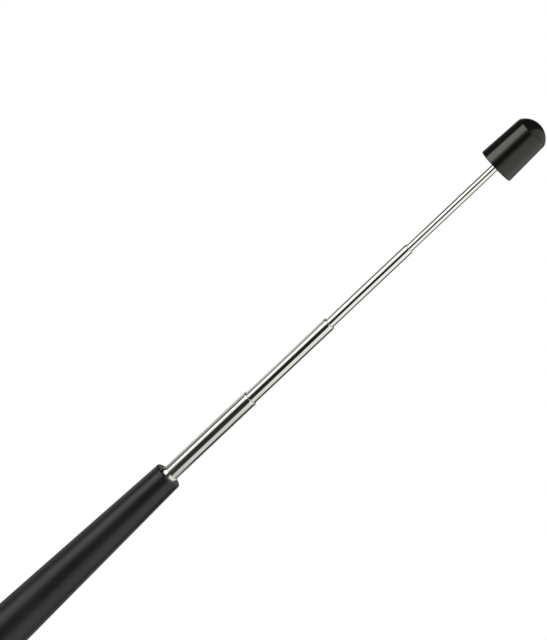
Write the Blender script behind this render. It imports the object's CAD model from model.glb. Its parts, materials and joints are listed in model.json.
import bpy
import bmesh
import json
import math
from mathutils import Matrix, Vector


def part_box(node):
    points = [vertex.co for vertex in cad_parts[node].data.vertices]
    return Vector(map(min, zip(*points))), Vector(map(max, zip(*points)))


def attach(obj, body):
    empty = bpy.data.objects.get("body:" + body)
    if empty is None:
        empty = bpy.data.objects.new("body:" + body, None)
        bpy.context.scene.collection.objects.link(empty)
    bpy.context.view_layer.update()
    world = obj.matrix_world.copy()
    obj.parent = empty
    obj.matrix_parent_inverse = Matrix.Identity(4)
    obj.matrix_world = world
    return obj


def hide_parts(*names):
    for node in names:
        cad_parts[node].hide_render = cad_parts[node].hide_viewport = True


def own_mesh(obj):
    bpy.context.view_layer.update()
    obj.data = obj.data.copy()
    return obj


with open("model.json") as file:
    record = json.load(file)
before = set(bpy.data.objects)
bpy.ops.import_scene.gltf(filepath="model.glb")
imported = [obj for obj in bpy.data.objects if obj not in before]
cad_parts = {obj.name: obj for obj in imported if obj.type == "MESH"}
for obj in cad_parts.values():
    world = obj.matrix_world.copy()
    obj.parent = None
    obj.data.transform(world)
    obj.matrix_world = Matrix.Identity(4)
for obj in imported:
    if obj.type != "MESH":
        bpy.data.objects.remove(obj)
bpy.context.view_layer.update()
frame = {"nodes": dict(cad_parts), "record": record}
MM = 0.001


def srgb(v):
    """A display value 0-255 as linear light."""
    c = v / 255.0
    return c / 12.92 if c <= 0.04045 else ((c + 0.055) / 1.055) ** 2.4


def span(node):
    """Radius, bottom and top of a CAD node in millimetres."""
    lo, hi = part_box(node)
    return max(hi.x, -lo.x, hi.y, -lo.y) / MM, lo.z / MM, hi.z / MM


# --------------------------------------------------------------------------
# Turned meshes: an outline in (radius, height), rounded, spun about the axis.
# --------------------------------------------------------------------------

def round_off(points, closed=True, steps=7):
    """points: (r, z, corner radius). Corners become arcs of short chords."""
    out = []
    n = len(points)
    for i, (r, z, rad) in enumerate(points):
        if rad <= 0 or (not closed and i in (0, n - 1)):
            out.append((r, z))
            continue
        a, b = points[i - 1], points[(i + 1) % n]
        p = Vector((r, z))
        u = Vector((a[0] - r, a[1] - z))
        v = Vector((b[0] - r, b[1] - z))
        lu, lv = u.length, v.length
        u.normalize()
        v.normalize()
        ang = u.angle(v)
        if ang > math.pi - 1e-3:
            out.append((r, z))
            continue
        t = min(rad / math.tan(ang / 2), lu * 0.49, lv * 0.49)
        rr = t * math.tan(ang / 2)
        c = p + (u + v).normalized() * (rr / math.sin(ang / 2))
        p0, p1 = p + u * t, p + v * t
        a0 = math.atan2(p0.y - c.y, p0.x - c.x)
        a1 = math.atan2(p1.y - c.y, p1.x - c.x)
        d = (a1 - a0 + math.pi) % (2 * math.pi) - math.pi
        k = max(2, int(steps * abs(d) / (math.pi / 2) + 0.5))
        for s in range(k + 1):
            w = a0 + d * s / k
            out.append((c.x + rr * math.cos(w), c.y + rr * math.sin(w)))
    clean = []
    for q in out:
        if not clean or (abs(q[0] - clean[-1][0]) + abs(q[1] - clean[-1][1])) > 1e-6:
            clean.append(q)
    if closed and (abs(clean[0][0] - clean[-1][0]) + abs(clean[0][1] - clean[-1][1])) < 1e-6:
        clean.pop()
    return clean


def spin(name, outline, segs=128, closed=True, angles=None, shape=None, smooth_deg=28.0):
    """Spins an outline (mm) into a closed mesh with exact smooth normals.
    closed: the outline is a ring section. Otherwise it starts and ends on the axis.
    shape(r, z, angle) may move a point in or out, and then normals come from the faces."""
    pts = list(outline)
    n = len(pts)
    area = 0.0
    for i in range(n):
        a, b = pts[i], pts[(i + 1) % n]
        area += a[0] * b[1] - b[0] * a[1]
    if area < 0:
        pts.reverse()
    nseg = n if closed else n - 1
    seg_n, seg_l = [], []
    for i in range(nseg):
        a, b = pts[i], pts[(i + 1) % n]
        d = Vector((b[0] - a[0], b[1] - a[1]))
        seg_l.append(max(d.length, 1e-9))
        d.normalize()
        seg_n.append(Vector((d.y, -d.x)))
    limit = math.cos(math.radians(smooth_deg))

    def corner(i, j, first):
        """Normal at the shared point of segments i and j, seen from i (or j)."""
        if i < 0 or j < 0 or i >= nseg or j >= nseg:
            return seg_n[i if first else j]
        if seg_n[i].dot(seg_n[j]) < limit:
            return seg_n[i if first else j]
        m = seg_n[i] * seg_l[i] + seg_n[j] * seg_l[j]
        return m.normalized()

    ends = []
    for i in range(nseg):
        prev = (i - 1) % nseg if closed else i - 1
        nxt = (i + 1) % nseg if closed else i + 1
        na = corner(prev, i, False) if prev >= 0 else seg_n[i]
        nb = corner(i, nxt, True) if nxt < nseg else seg_n[i]
        ends.append((na, nb))
    if angles is None:
        angles = [2 * math.pi * j / segs for j in range(segs)]
    m = len(angles)
    cs = [(math.cos(a), math.sin(a)) for a in angles]
    verts, index = [], []
    for r, z in pts:
        if r < 1e-6:
            index.append(len(verts))
            verts.append((0.0, 0.0, z * MM))
        else:
            index.append(len(verts))
            for j, (c, s) in enumerate(cs):
                rr = shape(r, z, angles[j]) if shape else r
                verts.append((rr * c * MM, rr * s * MM, z * MM))
    faces, normals = [], []

    def nor(v, j):
        if v.x == 0 and abs(v.y) > 0:
            return (0.0, 0.0, v.y)
        c, s = cs[j % m]
        return (v.x * c, v.x * s, v.y)

    for i in range(nseg):
        k = (i + 1) % n
        ra, rb = pts[i][0], pts[k][0]
        na, nb = ends[i]
        for j in range(m):
            j2 = (j + 1) % m
            if ra < 1e-6 and rb < 1e-6:
                continue
            if ra < 1e-6:
                faces.append((index[i], index[k] + j2, index[k] + j))
                pole = Vector((0.0, na.y if abs(na.y) > 0.2 else nb.y)).normalized()
                normals += [(0, 0, pole.y), nor(nb, j2), nor(nb, j)]
            elif rb < 1e-6:
                faces.append((index[i] + j, index[i] + j2, index[k]))
                pole = Vector((0.0, nb.y if abs(nb.y) > 0.2 else na.y)).normalized()
                normals += [nor(na, j), nor(na, j2), (0, 0, pole.y)]
            else:
                faces.append((index[i] + j, index[i] + j2, index[k] + j2, index[k] + j))
                normals += [nor(na, j), nor(na, j2), nor(nb, j2), nor(nb, j)]
    me = bpy.data.meshes.new(name)
    me.from_pydata(verts, [], faces)
    me.update()
    me.shade_smooth()
    ob = bpy.data.objects.new(name, me)
    bpy.context.scene.collection.objects.link(ob)
    if shape is None:
        me.normals_split_custom_set(normals)
    return ob


def strip_loop(name, rings):
    """A closed tube-like mesh through rings of points (metres); each ring is a closed section."""
    n, k = len(rings), len(rings[0])
    verts = [p for ring in rings for p in ring]
    faces = []
    for i in range(n):
        i2 = (i + 1) % n
        for j in range(k):
            j2 = (j + 1) % k
            faces.append((i * k + j, i * k + j2, i2 * k + j2, i2 * k + j))
    return verts, faces


def obj_from(name, verts, faces, smooth_angle=None):
    me = bpy.data.meshes.new(name)
    me.from_pydata([tuple(v) for v in verts], [], faces)
    me.update()
    bm = bmesh.new()
    bm.from_mesh(me)
    bmesh.ops.recalc_face_normals(bm, faces=bm.faces)
    bm.to_mesh(me)
    bm.free()
    me.shade_smooth()
    if smooth_angle:
        me.set_sharp_from_angle(angle=math.radians(smooth_angle))
    ob = bpy.data.objects.new(name, me)
    bpy.context.scene.collection.objects.link(ob)
    return ob


def tube_along(name, path, radius, sides=12):
    """A round wire (mm) through path points, with closed ends."""
    pts = [Vector(p) for p in path]
    t0 = (pts[1] - pts[0]).normalized()
    ref = Vector((0, 1, 0)) if abs(t0.y) < 0.8 else Vector((1, 0, 0))
    u = (ref - t0 * ref.dot(t0)).normalized()
    verts, faces = [], []
    prev = t0
    for i, p in enumerate(pts):
        if i == 0:
            t = t0
        elif i == len(pts) - 1:
            t = (pts[i] - pts[i - 1]).normalized()
        else:
            t = ((pts[i + 1] - p).normalized() + (p - pts[i - 1]).normalized()).normalized()
        q = prev.rotation_difference(t)
        u = (q @ u)
        u = (u - t * u.dot(t)).normalized()
        w = t.cross(u)
        prev = t
        for j in range(sides):
            a = 2 * math.pi * j / sides
            verts.append((p + (u * math.cos(a) + w * math.sin(a)) * radius) * MM)
    k = sides
    for i in range(len(pts) - 1):
        for j in range(k):
            j2 = (j + 1) % k
            faces.append((i * k + j, i * k + j2, (i + 1) * k + j2, (i + 1) * k + j))
    faces.append(tuple(reversed(range(k))))
    last = (len(pts) - 1) * k
    faces.append(tuple(last + j for j in range(k)))
    return obj_from(name, verts, faces, 50)


# --------------------------------------------------------------------------
# Materials: all procedural. Coordinates are metres, so scales are per metre.
# --------------------------------------------------------------------------

class Mat:
    def __init__(self, name):
        self.m = bpy.data.materials.new(name)
        self.m.use_nodes = True
        self.t = self.m.node_tree
        self.t.nodes.clear()
        self.out = self.node("ShaderNodeOutputMaterial")
        self.b = self.node("ShaderNodeBsdfPrincipled")
        self.link(self.b.outputs[0], self.out.inputs[0])
        self.tc = self.node("ShaderNodeTexCoord").outputs["Object"]

    def node(self, kind):
        return self.t.nodes.new(kind)

    def link(self, a, b):
        self.t.links.new(a, b)

    def put(self, name, value):
        s = self.b.inputs[name]
        if isinstance(value, bpy.types.NodeSocket):
            self.link(value, s)
        else:
            s.default_value = value

    def coords(self, sx, sy, sz, offset=(0, 0, 0)):
        n = self.node("ShaderNodeMapping")
        n.inputs["Scale"].default_value = (sx, sy, sz)
        n.inputs["Location"].default_value = offset
        self.link(self.tc, n.inputs["Vector"])
        return n.outputs[0]

    def noise(self, coords, scale=1.0, detail=3.0, rough=0.55, out=0, distortion=0.0):
        n = self.node("ShaderNodeTexNoise")
        n.inputs["Scale"].default_value = scale
        n.inputs["Detail"].default_value = detail
        n.inputs["Roughness"].default_value = rough
        n.inputs["Distortion"].default_value = distortion
        self.link(coords, n.inputs["Vector"])
        return n.outputs[out]

    def voronoi(self, coords, scale=1.0, feature="F1", rand=1.0):
        n = self.node("ShaderNodeTexVoronoi")
        n.feature = feature
        n.inputs["Scale"].default_value = scale
        n.inputs["Randomness"].default_value = rand
        self.link(coords, n.inputs["Vector"])
        return n.outputs["Distance"]

    def wave(self, coords, scale=1.0, axis="Z", distortion=0.0, detail=2.0):
        n = self.node("ShaderNodeTexWave")
        n.wave_type = "BANDS"
        n.bands_direction = axis
        n.inputs["Scale"].default_value = scale
        n.inputs["Distortion"].default_value = distortion
        n.inputs["Detail"].default_value = detail
        self.link(coords, n.inputs["Vector"])
        return n.outputs["Fac"]

    def ramp(self, fac, stops):
        n = self.node("ShaderNodeValToRGB")
        e = n.color_ramp.elements
        while len(e) > 1:
            e.remove(e[-1])
        for i, (p, c) in enumerate(stops):
            c = (c, c, c) if not isinstance(c, (tuple, list)) else c
            el = e[0] if i == 0 else e.new(p)
            el.position = p
            el.color = (c[0], c[1], c[2], 1.0)
        self.link(fac, n.inputs[0])
        return n.outputs[0]

    def span(self, fac, a, b, c, d, clamp=True):
        n = self.node("ShaderNodeMapRange")
        n.clamp = clamp
        for i, v in enumerate((a, b, c, d)):
            n.inputs[i + 1].default_value = v
        self.link(fac, n.inputs[0])
        return n.outputs[0]

    def math(self, op, a, b=0.0):
        n = self.node("ShaderNodeMath")
        n.operation = op
        for i, v in enumerate((a, b)):
            if isinstance(v, bpy.types.NodeSocket):
                self.link(v, n.inputs[i])
            else:
                n.inputs[i].default_value = v
        return n.outputs[0]

    def mix(self, fac, a, b):
        n = self.node("ShaderNodeMix")
        n.data_type = "RGBA"
        for i, v in ((0, fac), (6, a), (7, b)):
            if isinstance(v, bpy.types.NodeSocket):
                self.link(v, n.inputs[i])
            elif i == 0:
                n.inputs[i].default_value = v
            else:
                n.inputs[i].default_value = (v[0], v[1], v[2], 1.0)
        return n.outputs[2]

    def bump(self, height, distance, strength=1.0, normal=None):
        n = self.node("ShaderNodeBump")
        n.inputs["Distance"].default_value = distance
        n.inputs["Strength"].default_value = strength
        self.link(height, n.inputs["Height"])
        if normal is not None:
            self.link(normal, n.inputs["Normal"])
        return n.outputs[0]

    def axial(self):
        """Angle round the mast axis, as -0.5 to 0.5 turns, and height, in metres."""
        sep = self.node("ShaderNodeSeparateXYZ")
        self.link(self.tc, sep.inputs[0])
        a = self.math("ARCTAN2", sep.outputs[0], sep.outputs[1])
        return self.math("DIVIDE", a, 2 * math.pi), sep.outputs[2]


def chrome_plate():
    """Bright chrome on drawn tube: faint draw lines along it, soft smudges, tiny pits."""
    m = Mat("mast_chrome")
    smudge = m.noise(m.coords(1, 1, 0.5), 170.0, 5.0, 0.62, distortion=0.6)
    lines = m.noise(m.coords(9000, 9000, 90), 1.0, 3.0, 0.6)
    pits = m.voronoi(m.coords(1, 1, 1), 2600.0)
    tint = m.mix(m.span(smudge, 0.35, 0.75, 0.0, 1.0), (0.835, 0.832, 0.785), (0.800, 0.800, 0.757))
    m.put("Base Color", tint)
    m.put("Metallic", 1.0)
    rough = m.math("ADD", m.span(smudge, 0.30, 0.80, 0.018, 0.060), m.span(lines, 0.35, 0.75, 0.0, 0.016))
    m.put("Roughness", rough)
    h = m.bump(lines, 0.0000012, 0.5)
    m.put("Normal", m.bump(m.span(pits, 0.0, 0.10, 0.0, 1.0), 0.000002, 0.12, h))
    return m.m


def satin_black():
    """Moulded base plastic: fine spark-eroded grain, slight polish from handling."""
    m = Mat("base_plastic")
    grain = m.noise(m.coords(1, 1, 1), 5200.0, 4.0, 0.6)
    fine = m.noise(m.coords(1, 1, 1, (3, 1, 2)), 15000.0, 2.0, 0.5)
    wear = m.noise(m.coords(1, 1, 0.6, (0.3, 0.1, 0)), 90.0, 5.0, 0.6, distortion=0.4)
    speck = m.noise(m.coords(1, 1, 1, (1, 5, 2)), 900.0, 4.0, 0.55)
    base = m.mix(m.span(wear, 0.35, 0.7, 0, 1), (0.0062, 0.0062, 0.0070), (0.0095, 0.0095, 0.0103))
    dust = m.span(speck, 0.66, 0.74, 0.0, 0.22)
    m.put("Base Color", m.mix(dust, base, (0.022, 0.021, 0.020)))
    rough = m.math("ADD", m.span(wear, 0.3, 0.75, 0.19, 0.26), m.span(grain, 0.3, 0.7, -0.02, 0.03))
    high = m.node("ShaderNodeSeparateXYZ")
    m.link(m.tc, high.inputs[0])
    rough = m.math("ADD", rough, m.span(high.outputs[2], 0.100, 0.050, 0.0, 0.11))
    m.put("Roughness", rough)
    m.put("IOR", 1.52)
    n = m.bump(grain, 0.000012, 0.35)
    m.put("Normal", m.bump(fine, 0.000004, 0.35, n))
    return m.m


def gloss_black():
    """Polished cap plastic: very light orange peel, hairline scratches, faint haze."""
    m = Mat("cap_plastic")
    peel = m.noise(m.coords(1, 1, 1), 420.0, 2.0, 0.45)
    haze = m.noise(m.coords(1, 1, 1, (2, 2, 0)), 160.0, 4.0, 0.6)
    hair = m.voronoi(m.coords(900, 900, 120, (5, 1, 2)), 1.0, "DISTANCE_TO_EDGE")
    base = m.mix(m.span(haze, 0.35, 0.75, 0, 1), (0.0036, 0.0034, 0.0032), (0.0058, 0.0054, 0.0050))
    m.put("Base Color", base)
    scratch = m.span(hair, 0.0, 0.010, 0.05, 0.0)
    m.put("Roughness", m.math("ADD", m.span(haze, 0.3, 0.8, 0.060, 0.110), scratch))
    m.put("IOR", 1.60)
    m.put("Normal", m.bump(peel, 0.00002, 0.10))
    return m.m


def plated(name, light, dark, rough, turn=5200.0, grime=0.35):
    """Plated, lathe-turned brass: fine turning marks round the axis, dark film in the grooves."""
    m = Mat(name)
    turns = m.noise(m.coords(60, 60, turn), 1.0, 3.0, 0.55)
    film = m.noise(m.coords(1, 1, 1), 420.0, 5.0, 0.6)
    m.put("Base Color", m.mix(m.span(film, 0.35, 0.80, 0.0, grime), light, dark))
    m.put("Metallic", 1.0)
    m.put("Roughness", m.math("ADD", m.span(film, 0.3, 0.8, rough, rough + 0.12), m.span(turns, 0.3, 0.7, -0.02, 0.05)))
    m.put("Normal", m.bump(turns, 0.0000035, 0.35))
    return m.m


def waxy(name, light, dark, rough=0.42, scatter=0.08, scale=600.0):
    """White fluoropolymer or acetal: waxy, slightly translucent, faint tool marks."""
    m = Mat(name)
    cloud = m.noise(m.coords(1, 1, 1), scale, 4.0, 0.55)
    tool = m.noise(m.coords(40, 40, 6500), 1.0, 2.0, 0.5)
    m.put("Base Color", m.mix(m.span(cloud, 0.3, 0.75, 0, 1), light, dark))
    m.put("Roughness", m.span(cloud, 0.3, 0.8, rough, rough + 0.12))
    m.put("Subsurface Weight", scatter)
    m.put("Subsurface Scale", 0.0008)
    m.put("Normal", m.bump(tool, 0.000006, 0.3))
    return m.m


def rubbery(name, light, dark, rough=0.62, coat=0.0, scale=1500.0):
    m = Mat(name)
    cloud = m.noise(m.coords(1, 1, 1), scale, 5.0, 0.6)
    fleck = m.noise(m.coords(1, 1, 1, (7, 3, 1)), scale * 5, 2.0, 0.5)
    m.put("Base Color", m.mix(m.span(cloud, 0.3, 0.75, 0, 1), light, dark))
    m.put("Roughness", m.span(cloud, 0.3, 0.8, rough, rough + 0.15))
    m.put("Coat Weight", coat)
    m.put("Normal", m.bump(fleck, 0.000008, 0.4))
    return m.m


def jacket_wire():
    """Hook-up wire: red jacket with faint draw marks, tinned strands bared at both ends."""
    m = Mat("wire_jacket")
    cloud = m.noise(m.coords(1, 1, 1), 1500.0, 5.0, 0.6)
    fleck = m.noise(m.coords(1, 1, 1, (7, 3, 1)), 7500.0, 2.0, 0.5)
    sep = m.node("ShaderNodeSeparateXYZ")
    m.link(m.tc, sep.inputs[0])
    low = m.span(sep.outputs[2], 0.01838, 0.01842, 1.0, 0.0)
    far = m.span(sep.outputs[0], 0.00308, 0.00312, 0.0, 1.0)
    bare = m.math("MAXIMUM", low, far)
    jacket = m.mix(m.span(cloud, 0.3, 0.75, 0, 1), (0.42, 0.020, 0.018), (0.30, 0.014, 0.012))
    tin = m.mix(m.span(cloud, 0.3, 0.75, 0, 1), (0.66, 0.62, 0.55), (0.48, 0.42, 0.34))
    m.put("Base Color", m.mix(bare, jacket, tin))
    m.put("Metallic", bare)
    m.put("Roughness", m.span(cloud, 0.3, 0.8, 0.30, 0.44))
    m.put("Normal", m.bump(fleck, 0.000008, 0.4))
    return m.m


def wire_enamel():
    """Enamelled copper: amber lacquer over drawn copper."""
    m = Mat("copper_wire")
    cloud = m.noise(m.coords(1, 1, 1), 700.0, 4.0, 0.6)
    m.put("Base Color", m.mix(m.span(cloud, 0.3, 0.75, 0, 1), (0.60, 0.22, 0.075), (0.42, 0.13, 0.045)))
    m.put("Metallic", 0.9)
    m.put("Roughness", m.span(cloud, 0.3, 0.8, 0.22, 0.36))
    m.put("Coat Weight", 0.7)
    m.put("Coat Roughness", 0.12)
    m.put("Normal", m.bump(m.noise(m.coords(1, 1, 1), 4000.0, 2.0, 0.5), 0.000004, 0.3))
    return m.m


def drawn_metal(name, light, dark, rough, along=True):
    """Rolled or drawn strip: streaks along it, slight tarnish."""
    m = Mat(name)
    streak = m.noise(m.coords(7000, 7000, 120) if along else m.coords(300, 300, 9000), 1.0, 3.0, 0.55)
    film = m.noise(m.coords(1, 1, 1), 380.0, 5.0, 0.6)
    m.put("Base Color", m.mix(m.span(film, 0.35, 0.8, 0.0, 0.8), light, dark))
    m.put("Metallic", 1.0)
    m.put("Roughness", m.math("ADD", m.span(film, 0.3, 0.8, rough, rough + 0.14), m.span(streak, 0.3, 0.7, -0.03, 0.05)))
    m.put("Normal", m.bump(streak, 0.000003, 0.35))
    return m.m


MATS = {
    "mast_chrome": chrome_plate(),
    "base_plastic": satin_black(),
    "cap_plastic": gloss_black(),
    "nickel_plate": plated("nickel_plate", (0.66, 0.63, 0.58), (0.36, 0.33, 0.29), 0.16),
    "contact_bronze": plated("contact_bronze", (0.70, 0.66, 0.58), (0.45, 0.38, 0.28), 0.20),
    "gold_plate": plated("gold_plate", (0.86, 0.62, 0.26), (0.60, 0.40, 0.15), 0.16),
    "turned_brass": plated("turned_brass", (0.72, 0.52, 0.22), (0.45, 0.30, 0.12), 0.22, grime=0.6),
    "white_insulator": waxy("white_insulator", (0.80, 0.80, 0.78), (0.70, 0.70, 0.67)),
    "natural_acetal": waxy("natural_acetal", (0.74, 0.72, 0.64), (0.63, 0.61, 0.53), 0.38),
    "gasket_rubber": rubbery("gasket_rubber", (0.34, 0.062, 0.036), (0.23, 0.038, 0.022), 0.55),
    "sleeve_plastic": rubbery("sleeve_plastic", (0.018, 0.018, 0.019), (0.010, 0.010, 0.011), 0.42, 0.1),
    "wire_jacket": jacket_wire(),
    "spring_steel": drawn_metal("spring_steel", (0.56, 0.56, 0.55), (0.38, 0.36, 0.33), 0.24, False),
    "spring_bronze": drawn_metal("spring_bronze", (0.62, 0.37, 0.17), (0.38, 0.21, 0.09), 0.28),
    "tinned_brass": drawn_metal("tinned_brass", (0.62, 0.62, 0.60), (0.42, 0.40, 0.36), 0.30, False),
    "copper_wire": wire_enamel(),
}
SLOT = {s["node"]: s["material_slot"] for s in frame["record"]["subparts"]}
BODY = {n: b for b, ns in frame["record"]["behaviour"]["bodies"].items() for n in ns}

for name, node in frame["nodes"].items():
    node.data.materials.clear()
    node.data.materials.append(MATS[SLOT[name]])


def stands_for(ob, node):
    """ob takes a CAD node's place: its finish, its body and its duty."""
    ob.data.materials.clear()
    ob.data.materials.append(MATS[SLOT[node]])
    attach(ob, BODY[node])
    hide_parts(node)
    return ob


# --------------------------------------------------------------------------
# Base: one tapered moulding with a crisp small-radius top edge.
# --------------------------------------------------------------------------
r_shell, z_shell, top_shell = span("base_shell")
r_shell = 7.68
r_top = 4.6
shell = spin("base_moulding", round_off([
    (6.3, z_shell, 0.15),
    (r_shell, z_shell, 0.40),
    (r_top, top_shell, 0.50),
    (2.83, top_shell, 0.12),
    (2.83, top_shell - 0.55, 0.03),
    (3.0, top_shell - 0.55, 0.03),
    (3.0, top_shell - 7.0, 0.05),
    (3.35, top_shell - 7.0, 0.05),
    (5.9, z_shell + 4.6, 0.05),
    (6.3, z_shell + 4.6, 0.05),
]), 192)
stands_for(shell, "base_shell")

r_ep, z_ep, top_ep = span("base_end_plug")
end_plug = spin("base_end_collar", round_off([
    (4.03, z_ep, 0.12),
    (r_ep, z_ep, 0.28),
    (r_ep, z_ep + 1.0, 0.12),
    (6.28, z_ep + 1.0, 0.05),
    (6.28, top_ep, 0.30),
    (4.03, top_ep, 0.10),
]), 160)
stands_for(end_plug, "base_end_plug")

# --------------------------------------------------------------------------
# Mast: drawn tubes whose ends are rolled in to a lip.
# --------------------------------------------------------------------------
_, z_ot, top_ot = span("outer_tube")
outer = spin("mast_outer_tube", round_off([
    (2.70, z_ot, 0.05),
    (2.95, z_ot, 0.05),
    (2.95, 102.20, 0.06),
    (2.78, 102.40, 0.06),
    (2.79, 102.98, 0.04),
    (2.765, 103.30, 0.6),
    (2.70, 103.66, 0.6),
    (2.60, top_ot, 0.10),
    (2.53, top_ot, 0.03),
    (2.53, top_ot - 0.75, 0.04),
    (2.70, top_ot - 0.75, 0.02),
]), 160)
stands_for(outer, "outer_tube")


def sliding_tube(name, node, r, bore, lip, flare, roll):
    _, z, top = span(node)
    stop = {"mast_tube_1": top_ot, "mast_tube_2": span("mast_tube_1")[2], "mast_tube_3": span("mast_tube_2")[2]}[node]
    bead = stop - 0.80
    ob = spin(name, round_off([
        (bore, z, 0.04),
        (flare, z, 0.05),
        (flare, z + 0.6, 0.05),
        (r, z + 0.6, 0.02),
        (r, bead - 0.65, 0.02),
        (flare, bead - 0.65, 0.05),
        (flare, bead, 0.05),
        (r, bead, 0.02),
        (r, top - 0.66, 0.0),
        (r - 0.035, top, roll),
        (lip, top, 0.05),
        (lip, top - 0.75, 0.04),
        (bore, top - 0.75, 0.02),
    ]), 144)
    return stands_for(ob, node)


tube_1 = sliding_tube("mast_section_1", "mast_tube_1", 2.5, 2.28, 2.13, 2.64, 0.27)
tube_2 = sliding_tube("mast_section_2", "mast_tube_2", 2.1, 1.85, 1.63, 2.22, 0.27)
tube_3 = sliding_tube("mast_section_3", "mast_tube_3", 1.6, 1.40, 1.28, 1.79, 0.22)

_, z_rod, top_rod = span("tip_rod")
rod = spin("mast_tip_rod", round_off([
    (0.0, z_rod, 0.0),
    (1.25, z_rod, 0.12),
    (1.25, z_rod + 0.5, 0.05),
    (0.95, z_rod + 0.5, 0.03),
    (0.95, z_rod + 4.5, 0.03),
    (1.37, z_rod + 4.5, 0.05),
    (1.37, z_rod + 5.2, 0.08),
    (1.25, z_rod + 5.2, 0.02),
    (1.25, top_rod - 0.3, 0.05),
    (0.95, top_rod, 0.05),
    (0.0, top_rod, 0.0),
], closed=False), 112, closed=False)
stands_for(rod, "tip_rod")

# --------------------------------------------------------------------------
# Cap: slightly tapered side, spherical dome blended in, hollow underside.
# --------------------------------------------------------------------------
_, z_cap, top_cap = span("tip_cap")
R_dome, r_rim, r_sh = 6.16, 6.05, 5.52
zc = top_cap - R_dome
sh_z = zc + math.sqrt(R_dome ** 2 - r_sh ** 2)
blend = 1.2
side = Vector((r_sh - r_rim, sh_z - z_cap)).normalized()
inward = Vector((-side.y, side.x))
q0 = Vector((r_rim, z_cap)) + inward * blend - Vector((0.0, zc))
bq = q0.dot(side)
cq = q0.dot(q0) - (R_dome - blend) ** 2
tq = -bq + math.sqrt(bq * bq - cq)
mid = Vector((r_rim, z_cap)) + inward * blend + side * tq
a_side = math.atan2(-inward.y, -inward.x)
a_dome = math.atan2(mid.y - zc, mid.x)
dome = []
for i in range(10):
    a = a_side + (a_dome - a_side) * i / 9
    dome.append((mid.x + blend * math.cos(a), mid.y + blend * math.sin(a), 0.0))
for i in range(1, 29):
    a = a_dome + (math.pi / 2 - a_dome) * i / 28
    dome.append((max(0.0, R_dome * math.cos(a)) if i < 28 else 0.0, zc + R_dome * math.sin(a), 0.0))
cap_outline = [
    (0.0, z_cap + 12.6, 0.0),
    (1.27, z_cap + 12.6, 0.05),
    (1.27, z_cap + 12.0, 0.03),
    (2.42, z_cap + 12.0, 0.05),
    (2.42, z_cap + 5.0, 0.05),
    (1.27, z_cap + 5.0, 0.03),
    (1.27, z_cap + 4.5, 0.10),
    (5.00, z_cap + 4.5, 0.35),
    (5.12, z_cap, 0.22),
    (r_rim, z_cap, 0.30),
] + dome
cap = spin("tip_cap_moulding", round_off(cap_outline, closed=False), 176, closed=False)
stands_for(cap, "tip_cap")

# --------------------------------------------------------------------------
# Bayonet plug: ribbed coupling ring with its two ramped slots.
# --------------------------------------------------------------------------
rib_n = 36
pitch = 2 * math.pi / rib_n
marks = [(0.0, 1.0), (0.9, 0.62), (1.7, 0.24), (2.25, 0.04), (2.9, 0.0), (5.0, 0.0),
         (7.1, 0.0), (7.75, 0.04), (8.3, 0.24), (9.1, 0.62)]
rib_angles, rib_cut = [], {}
for i in range(rib_n):
    for deg, cut in marks:
        rib_angles.append(i * pitch + math.radians(deg))
        rib_cut[round(rib_angles[-1], 6)] = cut


def rib_shape(r, z, a):
    if r < 6.75 or z < 8.55:
        return r
    fade = min(1.0, max(0.0, (z - 8.75) / 0.35))
    cut = 0.42 * fade * rib_cut[round(a, 6)]
    return min(r, max(6.2, 7.25 - cut)) if r > 7.25 - cut else r


_, z_ring, top_ring = span("coupling_ring")
ring_line = round_off([
    (4.925, 0.30, 0.05),
    (5.225, 0.0, 0.08),
    (6.05, 0.0, 0.12),
    (6.35, 0.30, 0.10),
    (6.35, 7.90, 0.18),
    (6.95, 8.50, 0.12),
    (7.25, 8.80, 0.10),
    (7.25, 9.10, 0.0),
    (7.25, 9.60, 0.0),
    (7.25, 11.5, 0.0),
    (7.25, 13.80, 0.10),
    (6.85, 14.20, 0.10),
    (6.10, 14.20, 0.06),
    (6.10, 9.60, 0.04),
    (4.925, 9.60, 0.06),
], steps=4)
ring = spin("coupling_ring_ribbed", ring_line, angles=rib_angles, shape=rib_shape)


def prism(name, outline_xz, y0, y1):
    """An outline in X and Z, pushed along Y: the tool that cuts a slot."""
    k = len(outline_xz)
    verts = [(x * MM, y0 * MM, z * MM) for x, z in outline_xz] + [(x * MM, y1 * MM, z * MM) for x, z in outline_xz]
    faces = [tuple(range(k)), tuple(reversed(range(k, 2 * k)))]
    faces += [(i, (i + 1) % k, k + (i + 1) % k, k + i) for i in range(k)]
    return obj_from(name, verts, faces)


ramp_line = [(x, z) for x, z in round_off([
    (-3.95, -0.6, 0.0), (-1.85, -0.6, 0.0), (-1.85, 1.55, 0.35), (3.3, 3.75, 0.0),
    (2.6, 5.85, 0.0), (-3.95, 3.35, 0.5)], steps=5)]
seat_line = [(3.0 + 1.17 * math.cos(2 * math.pi * i / 40), 4.55 + 1.17 * math.sin(2 * math.pi * i / 40)) for i in range(40)]
side_sign = -1.0
ring_cad = frame["nodes"]["coupling_ring"].data
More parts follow.
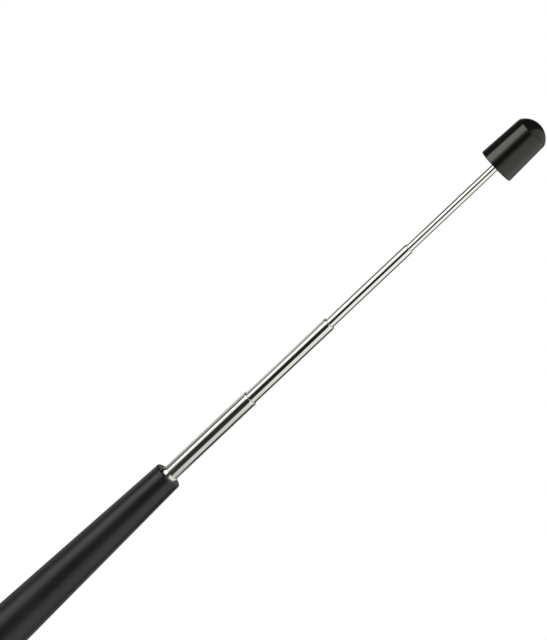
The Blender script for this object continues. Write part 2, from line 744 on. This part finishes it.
# The CAD slots open at one side first; the side is read from the mesh itself.
near = [v.co for v in ring_cad.vertices if v.co.z < 0.0058 and v.co.z > 0.0050 and abs(v.co.x) > 0.0018]
if near:
    left = sum(1 for c in near if (c.x > 0) == (c.y < 0))
    side_sign = -1.0 if left * 2 >= len(near) else 1.0
tools = []
for half in (0, 1):
    for label, line in (("ramp", ramp_line), ("seat", seat_line)):
        t = prism("slot_tool_%s_%d" % (label, half), line, side_sign * 3.0, side_sign * 9.5)
        if half:
            t.data.transform(Matrix.Rotation(math.pi, 4, "Z"))
        tools.append(t)
for t in tools:
    mod = ring.modifiers.new(t.name, "BOOLEAN")
    mod.operation = "DIFFERENCE"
    mod.solver = "EXACT"
    mod.object = t
bpy.context.view_layer.update()
dg = bpy.context.evaluated_depsgraph_get()
cut_mesh = bpy.data.meshes.new_from_object(ring.evaluated_get(dg))
ring.modifiers.clear()
ring.data = cut_mesh
for t in tools:
    bpy.data.objects.remove(t)
cut_mesh.shade_smooth()
cut_mesh.set_sharp_from_angle(angle=math.radians(32))
stands_for(ring, "coupling_ring")

# Face gasket: a soft ring, slightly crowned.
_, z_g, top_g = span("face_gasket")
gasket = spin("face_gasket_ring", round_off([
    (3.88, z_g + 0.04, 0.28),
    (4.35, z_g, 0.5),
    (4.82, z_g + 0.04, 0.28),
    (4.82, top_g, 0.16),
    (3.88, top_g, 0.16),
], steps=8), 128)
stands_for(gasket, "face_gasket")

# Wave washers: two strips with three waves, out of step with each other.
_, z_w, top_w = span("wave_washers")
rings_all, faces_all = [], []
half_t, amp = 0.125, 0.24
mid_z = (z_w + top_w) / 2
off = half_t + amp + 0.02
for w, (zm, ph) in enumerate(((mid_z - off, 0.0), (mid_z + off, math.pi))):
    rings = []
    for i in range(180):
        a = 2 * math.pi * i / 180
        lift = zm + amp * math.sin(3 * a + ph)
        section = round_off([(4.70, lift - half_t, 0.05), (5.85, lift - half_t, 0.05),
                             (5.85, lift + half_t, 0.05), (4.70, lift + half_t, 0.05)], steps=3)
        rings.append([(r * math.cos(a) * MM, r * math.sin(a) * MM, z * MM) for r, z in section])
    v, f = strip_loop("w", rings)
    base_i = len(rings_all)
    rings_all += v
    faces_all += [tuple(base_i + x for x in face) for face in f]
washers = obj_from("wave_washer_pair", rings_all, faces_all, 40)
stands_for(washers, "wave_washers")
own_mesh(washers)

# --------------------------------------------------------------------------
# Inside the base: the coil, the sleeve shrunk over it.
# --------------------------------------------------------------------------
r_c = 3.76
z_c0, turns, step = 27.4, 26, 0.6
path = [(r_c, 0, 26.55), (r_c, 0, 26.8), (r_c, 0, 27.05)]
k = 26
for i in range(turns * k + 1):
    a = 2 * math.pi * i / k
    lead = min(1.0, i / 6.0, (turns * k - i) / 6.0)
    path.append((r_c * math.cos(a), r_c * math.sin(a), z_c0 + step * i / k + (0.0 if lead >= 1 else 0.0)))
z_end = z_c0 + turns * step
path += [(r_c, 0, z_end + 0.35), (r_c, 0, z_end + 1.0), (r_c, 0, 48.0), (r_c, 0, 53.1)]
coil = tube_along("loading_coil_wire", path, 0.22, 10)
stands_for(coil, "loading_coil")

# The feed wire: jacket with a rounded cut at each end, three twisted strands showing.
lo_f, hi_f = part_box("feed_wire")
z_f, x_f, turn_f, r_f = lo_f.z / MM, hi_f.x / MM, hi_f.z / MM - 0.25, 0.25
wire_path = [(0.0, 0.0, z_f + 0.05 * i) for i in range(25)]
z_on = wire_path[-1][2]
wire_path += [(0.0, 0.0, z_on + (turn_f - 0.6 - z_on) * i / 12) for i in range(1, 13)]
wire_path += [(0.6 - 0.6 * math.cos(a), 0.0, turn_f - 0.6 + 0.6 * math.sin(a))
              for a in (math.pi / 2 * i / 14 for i in range(1, 15))]
x_on = x_f - 0.85
wire_path += [(0.6 + (x_on - 0.6) * i / 10, 0.0, turn_f) for i in range(1, 11)]
wire_path += [(x_on + 0.85 * i / 17, 0.0, turn_f) for i in range(1, 18)]
pts_w = [Vector(q) for q in wire_path]
run = [0.0]
for a, b in zip(pts_w, pts_w[1:]):
    run.append(run[-1] + (b - a).length)
wv, wf, sides_w = [], [], 24
for i, q in enumerate(pts_w):
    a, b = pts_w[max(0, i - 1)], pts_w[min(len(pts_w) - 1, i + 1)]
    t = (b - a).normalized()
    v = Vector((0, 1, 0))
    u = v.cross(t)
    from_end = min(run[i] - 1.2, run[-1] - 0.80 - run[i])
    for j in range(sides_w):
        a = 2 * math.pi * j / sides_w
        if from_end < 0:
            r = 0.150 + 0.022 * math.cos(3 * a + 2 * math.pi * run[i] / 1.1)
        else:
            r = min(r_f, 0.205 + 0.9 * from_end) if from_end < 0.05 else r_f
        wv.append((q + (u * math.cos(a) + v * math.sin(a)) * r) * MM)
for i in range(len(pts_w) - 1):
    for j in range(sides_w):
        j2 = (j + 1) % sides_w
        wf.append((i * sides_w + j, i * sides_w + j2, (i + 1) * sides_w + j2, (i + 1) * sides_w + j))
wf.append(tuple(reversed(range(sides_w))))
wf.append(tuple((len(pts_w) - 1) * sides_w + j for j in range(sides_w)))
feed = obj_from("feed_wire_jacketed", wv, wf, 45)
stands_for(feed, "feed_wire")

_, z_s, top_s = span("coil_sleeve")
line = [(4.06, z_s, 0.03)]
n_r = 62
line_out = []
for i in range(n_r + 1):
    z = z_s + 0.25 + (top_s - z_s - 0.5) * i / n_r
    inside_coil = z_c0 < z < z_end
    bulge = 0.015 * math.cos(2 * math.pi * (z - z_c0) / step) if inside_coil else 0.0
    tuck = 0.10 * math.exp(-(z - z_s) / 0.8) + 0.10 * math.exp(-(top_s - z) / 0.8)
    line_out.append((4.43 + bulge - tuck, z, 0.0))
sleeve = spin("coil_shrink_sleeve", round_off([(4.06, z_s, 0.04), (4.30, z_s, 0.08)] + line_out + [(4.30, top_s, 0.08), (4.06, top_s, 0.04)]), 128, smooth_deg=40)
stands_for(sleeve, "coil_sleeve")

# --------------------------------------------------------------------------
# Studio: soft surround, pale floor, camera at the picture's angle.
# --------------------------------------------------------------------------
scene = bpy.context.scene
scene.view_settings.view_transform = "Standard"
scene.view_settings.look = "None"
scene.view_settings.exposure = 0.0
scene.view_settings.gamma = 1.0

world = bpy.data.worlds.new("Studio")
scene.world = world
world.use_nodes = True
wt = world.node_tree
wt.nodes.clear()


def wn(kind):
    return wt.nodes.new(kind)


def wmath(op, a, b=0.0):
    n = wn("ShaderNodeMath")
    n.operation = op
    for i, v in enumerate((a, b)):
        if isinstance(v, bpy.types.NodeSocket):
            wt.links.new(v, n.inputs[i])
        else:
            n.inputs[i].default_value = v
    return n.outputs[0]


def driven(prop):
    """A value that follows the camera's own location, so the cards turn with it."""
    n = wn("ShaderNodeValue")
    n.label = "camera " + prop
    return n


tcw = wn("ShaderNodeTexCoord")
sep = wn("ShaderNodeSeparateXYZ")
wt.links.new(tcw.outputs["Generated"], sep.inputs[0])
eye_x, eye_y = driven("x"), driven("y")
eye_az = wmath("ARCTAN2", eye_x.outputs[0], wmath("MULTIPLY", eye_y.outputs[0], -1.0))
turn = wn("ShaderNodeVectorRotate")
turn.rotation_type = "Z_AXIS"
wt.links.new(tcw.outputs["Generated"], turn.inputs["Vector"])
wt.links.new(wmath("MULTIPLY", eye_az, -1.0), turn.inputs["Angle"])
flat = wn("ShaderNodeSeparateXYZ")
wt.links.new(turn.outputs[0], flat.inputs[0])
psi = wmath("ARCTAN2", flat.outputs[0], wmath("MULTIPLY", flat.outputs[1], -1.0))
fac = wmath("ADD", wmath("DIVIDE", psi, 2 * math.pi), 0.5)

# Soft boxes and black cards round the mast: brightness by direction, one row for
# each height of the reflected ray. -90 is to the left of the camera, 90 to the right.
CARDS = [
    (None, None, [(-180, 0.50), (-150, 0.46), (-116, 0.30), (-96, 0.14), (-84, 0.40), (-72, 1.70), (-48, 1.50),
                  (-34, 0.90), (-26, 0.12), (-20, 0.04), (20, 0.03), (28, 0.20), (38, 0.85), (56, 0.90), (80, 0.92),
                  (92, 0.60), (104, 0.06), (128, 0.06), (150, 0.34), (180, 0.50)]),
    (-0.378, -0.348, [(-180, 0.30), (-150, 0.26), (-128, 0.24), (-110, 0.18), (-100, 0.12), (-88, 0.12), (-78, 0.30),
                    (-66, 0.78), (-58, 0.82), (-46, 0.60), (-32, 0.32), (-22, 0.12), (-10, 0.05), (20, 0.05),
                    (32, 0.07), (46, 0.32), (58, 0.54), (70, 0.52), (86, 0.46), (100, 0.40), (120, 0.32),
                    (150, 0.42), (180, 0.55)]),
    (-0.276, -0.252, [(-180, 0.40), (-150, 0.46), (-128, 0.60), (-110, 0.52), (-100, 0.16), (-82, 0.08), (-75, 0.30),
                      (-67, 1.60), (-60, 1.85), (-52, 1.30), (-44, 0.98), (-37, 0.75), (-31, 0.16), (-26, 0.03),
                      (24, 0.03), (31, 0.08), (38, 0.52), (44, 0.80), (54, 0.72), (64, 0.68), (76, 0.76), (88, 0.58),
                      (96, 0.16), (104, 0.03), (125, 0.03), (142, 0.30), (160, 0.50), (180, 0.55)]),
    (-0.235, -0.205, [(-180, 0.55), (-140, 0.75), (-122, 0.85), (-110, 0.52), (-97, 0.34), (-85, 0.15), (-75, 0.40),
                      (-67, 1.45), (-60, 1.80), (-52, 1.60), (-44, 1.35), (-36, 1.10), (-30, 0.40), (-25, 0.02),
                      (22, 0.015), (28, 0.12), (34, 0.72), (42, 0.98), (54, 0.90), (64, 0.87), (76, 0.92),
                      (89, 0.82), (97, 0.25), (104, 0.02), (128, 0.05), (150, 0.40), (180, 0.55)]),
    (-0.190, -0.165, [(-180, 0.50), (-140, 0.42), (-120, 0.20), (-100, 0.15), (-88, 0.45), (-76, 1.40), (-60, 1.80),
                      (-44, 1.60), (-34, 1.35), (-28, 0.60), (-22, 0.03), (20, 0.015), (26, 0.30), (33, 1.15),
                      (44, 1.20), (54, 0.90), (66, 0.90), (78, 1.20), (88, 1.10), (97, 0.28), (104, 0.02),
                      (136, 0.10), (155, 0.40), (180, 0.50)]),
    (-0.145, -0.115, [(-180, 0.50), (-140, 0.30), (-125, 0.10), (-105, 0.03), (-92, 0.10), (-80, 0.55), (-68, 1.20),
                      (-52, 1.90), (-36, 1.70), (-29, 1.20), (-22, 0.50), (-16, 0.03), (14, 0.015), (20, 0.30),
                      (27, 1.05), (36, 1.25), (48, 1.10), (64, 1.00), (80, 1.12), (92, 0.90), (100, 0.30),
                      (108, 0.02), (140, 0.08), (160, 0.40), (180, 0.50)]),
    (-0.095, -0.050, [(-180, 0.36), (-150, 0.22), (-125, 0.05), (-87, 0.04), (-81, 1.20), (-76, 2.30), (-50, 2.35),
                      (-42, 1.90), (-34, 0.90), (-26, 0.24), (-18, 0.04), (0, 0.03), (9, 0.28), (17, 0.60), (30, 0.76),
                      (60, 0.86), (90, 0.86), (122, 0.80), (134, 0.50), (142, 0.08), (160, 0.25), (180, 0.36)]),
    (0.30, 0.42, [(-180, 0.010), (-26, 0.008), (-19, 0.10), (-10, 0.36), (10, 0.45), (30, 0.54), (90, 0.62), (140, 0.56),
                  (156, 0.30), (166, 0.03), (180, 0.010)]),
]
z_ray = sep.outputs[2]
light = None
for z_from, z_to, levels in CARDS:
    ramp = wn("ShaderNodeValToRGB")
    el = ramp.color_ramp.elements
    while len(el) > 1:
        el.remove(el[-1])
    for i, (deg, level) in enumerate(levels):
        e = el[0] if i == 0 else el.new(deg / 360.0 + 0.5)
        e.position = deg / 360.0 + 0.5
        warm = 1.0 if z_from is not None and z_from > -0.10 else 0.0
        e.color = (level, level * (1.0 - 0.025 * warm), level * (0.985 - 0.085 * warm), 1.0)
    ramp.color_ramp.interpolation = "LINEAR"
    wt.links.new(fac, ramp.inputs[0])
    if light is None:
        light = ramp.outputs[0]
        continue
    step = wn("ShaderNodeMapRange")
    step.interpolation_type = "SMOOTHSTEP"
    step.inputs[1].default_value = z_from
    step.inputs[2].default_value = z_to
    wt.links.new(z_ray, step.inputs[0])
    mixer = wn("ShaderNodeMix")
    mixer.data_type = "RGBA"
    wt.links.new(step.outputs[0], mixer.inputs[0])
    wt.links.new(light, mixer.inputs[6])
    wt.links.new(ramp.outputs[0], mixer.inputs[7])
    light = mixer.outputs[2]
lp = wn("ShaderNodeLightPath")
glossy = wn("ShaderNodeBackground")
wt.links.new(light, glossy.inputs[0])
glossy.inputs[1].default_value = 1.0
soft = wn("ShaderNodeBackground")
soft.inputs[0].default_value = (1.0, 1.0, 0.99, 1.0)
soft.inputs[1].default_value = 0.75
seen = wn("ShaderNodeBackground")
seen.inputs[0].default_value = (1.0, 1.0, 1.0, 1.0)
seen.inputs[1].default_value = 1.0
m1 = wn("ShaderNodeMixShader")
wt.links.new(lp.outputs["Is Glossy Ray"], m1.inputs[0])
wt.links.new(soft.outputs[0], m1.inputs[1])
wt.links.new(glossy.outputs[0], m1.inputs[2])
m2 = wn("ShaderNodeMixShader")
wt.links.new(lp.outputs["Is Camera Ray"], m2.inputs[0])
wt.links.new(m1.outputs[0], m2.inputs[1])
wt.links.new(seen.outputs[0], m2.inputs[2])
world.cycles.sampling_method = "NONE"
wo = wn("ShaderNodeOutputWorld")
wt.links.new(m2.outputs[0], wo.inputs[0])

# Floor: pale, lit near the object, fading to plain white further out.
fl = bmesh.new()
rings_r = [0.0, 0.03, 0.06, 0.1, 0.2, 0.5, 1.5, 6.0]
prev_ring = None
centre = fl.verts.new((0, 0, -0.0009))
for rr in rings_r[1:]:
    cur = [fl.verts.new((rr * math.cos(2 * math.pi * i / 64), rr * math.sin(2 * math.pi * i / 64), -0.0009)) for i in range(64)]
    for i in range(64):
        i2 = (i + 1) % 64
        if prev_ring is None:
            fl.faces.new((centre, cur[i], cur[i2]))
        else:
            fl.faces.new((prev_ring[i], cur[i], cur[i2], prev_ring[i2]))
    prev_ring = cur
fm = bpy.data.meshes.new("studio_floor")
fl.to_mesh(fm)
fl.free()
floor = bpy.data.objects.new("studio_floor", fm)
scene.collection.objects.link(floor)
fmat = Mat("floor_paper")
fmat.put("Base Color", (0.93, 0.93, 0.925, 1.0))
fmat.put("Roughness", 0.9)
fmat.put("Specular IOR Level", 0.1)
fmat.put("Normal", fmat.bump(fmat.noise(fmat.coords(1, 1, 1), 900.0, 3.0, 0.6), 0.00002, 0.2))
em = fmat.node("ShaderNodeEmission")
em.inputs[0].default_value = (1, 1, 1, 1)
em.inputs[1].default_value = 1.0
mixs = fmat.node("ShaderNodeMixShader")
ln = fmat.node("ShaderNodeVectorMath")
ln.operation = "LENGTH"
fmat.link(fmat.tc, ln.inputs[0])
fade = fmat.node("ShaderNodeMapRange")
fade.interpolation_type = "SMOOTHSTEP"
fade.inputs[1].default_value = 0.020
fade.inputs[2].default_value = 0.078
fmat.link(ln.outputs["Value"], fade.inputs[0])
fmat.link(fade.outputs[0], mixs.inputs[0])
fmat.link(fmat.b.outputs[0], mixs.inputs[1])
fmat.link(em.outputs[0], mixs.inputs[2])
# From underneath the paper is clear, so the foot of the part can be looked at.
clear = fmat.node("ShaderNodeBsdfTransparent")
under = fmat.node("ShaderNodeMixShader")
fmat.link(fmat.node("ShaderNodeNewGeometry").outputs["Backfacing"], under.inputs[0])
fmat.link(mixs.outputs[0], under.inputs[1])
fmat.link(clear.outputs[0], under.inputs[2])
fmat.link(under.outputs[0], fmat.out.inputs[0])
floor.data.materials.append(fmat.m)
floor.visible_glossy = False
floor.visible_diffuse = True


def area(name, loc, target, size, power):
    d = bpy.data.lights.new(name, "AREA")
    d.shape = "RECTANGLE"
    d.size, d.size_y = size
    d.energy = power
    o = bpy.data.objects.new(name, d)
    o.location = loc
    o.rotation_mode = "QUATERNION"
    o.rotation_quaternion = (Vector(loc) - Vector(target)).to_track_quat("Z", "Y")
    o.visible_glossy = False
    scene.collection.objects.link(o)
    return o


area("soft_overhead", (-0.35, -0.25, 0.95), (0, 0, 0.1), (0.8, 0.8), 5.0)
area("soft_fill", (0.7, -0.5, 0.35), (0, 0, 0.12), (0.6, 0.6), 1.6)

# Camera: level, square to the mast, standing a little beyond the tip, so the
# base's top face is seen from the tip side; the frame is shifted, not turned.
PX = 0.3012            # millimetres of the mast's plane to one pixel of a 547 x 640 frame
DIST = 700.0
ANG = math.radians(43.337)
FOOT = 640.0
z_mark = 103.0 + 0.8 * PX
eye_z = z_mark + FOOT * PX
cam_data = bpy.data.cameras.new("Camera")
cam = bpy.data.objects.new("Camera", cam_data)
scene.collection.objects.link(cam)
scene.camera = cam
cam_data.sensor_width = 36.0
cam_data.sensor_fit = "AUTO"
cam_data.lens = 36.0 * (DIST / PX) / 640.0
cam_data.clip_start, cam_data.clip_end = 0.05, 50.0
right = Vector((math.sin(ANG), 0, math.cos(ANG)))
upv = Vector((-math.cos(ANG), 0, math.sin(ANG)))
back = Vector((0, -1, 0))
rot = Matrix((right, upv, back)).transposed()
cam.rotation_mode = "QUATERNION"
cam.rotation_quaternion = rot.to_quaternion()
cam.location = (0, -DIST * MM, eye_z * MM)

base_px = (169.54, 474.47)
foot_px = (base_px[0] + FOOT * math.cos(ANG), base_px[1] - FOOT * math.sin(ANG))
shift = ((273.5 - foot_px[0]) / 640.0, (foot_px[1] - 320.0) / 640.0)

# The cards round the object stand where the camera stands, whichever side that is.
for axis, node in (("LOC_X", eye_x), ("LOC_Y", eye_y)):
    fc = node.outputs[0].driver_add("default_value")
    drv = fc.driver
    drv.type = "AVERAGE"
    var = drv.variables.new()
    var.name = "eye"
    var.type = "TRANSFORMS"
    var.targets[0].id = cam
    var.targets[0].transform_type = axis
    var.targets[0].transform_space = "WORLD_SPACE"
    for mod in list(fc.modifiers):
        fc.modifiers.remove(mod)

# The shift holds only while the camera stands here: seen from elsewhere it is nil.
home = bpy.data.objects.new("camera_home", None)
home.location = cam.location
scene.collection.objects.link(home)
for i, prop in enumerate(("shift_x", "shift_y")):
    fc = cam_data.driver_add(prop)
    drv = fc.driver
    drv.type = "AVERAGE"
    var = drv.variables.new()
    var.name = "away"
    var.type = "LOC_DIFF"
    var.targets[0].id = cam
    var.targets[1].id = home
    for mod in list(fc.modifiers):
        fc.modifiers.remove(mod)
    fc.keyframe_points.insert(0.0, shift[i])
    fc.keyframe_points.insert(0.05, 0.0)
    for kp in fc.keyframe_points:
        kp.interpolation = "LINEAR"
    fc.extrapolation = "CONSTANT"
    fc.update()

bpy.context.view_layer.update()
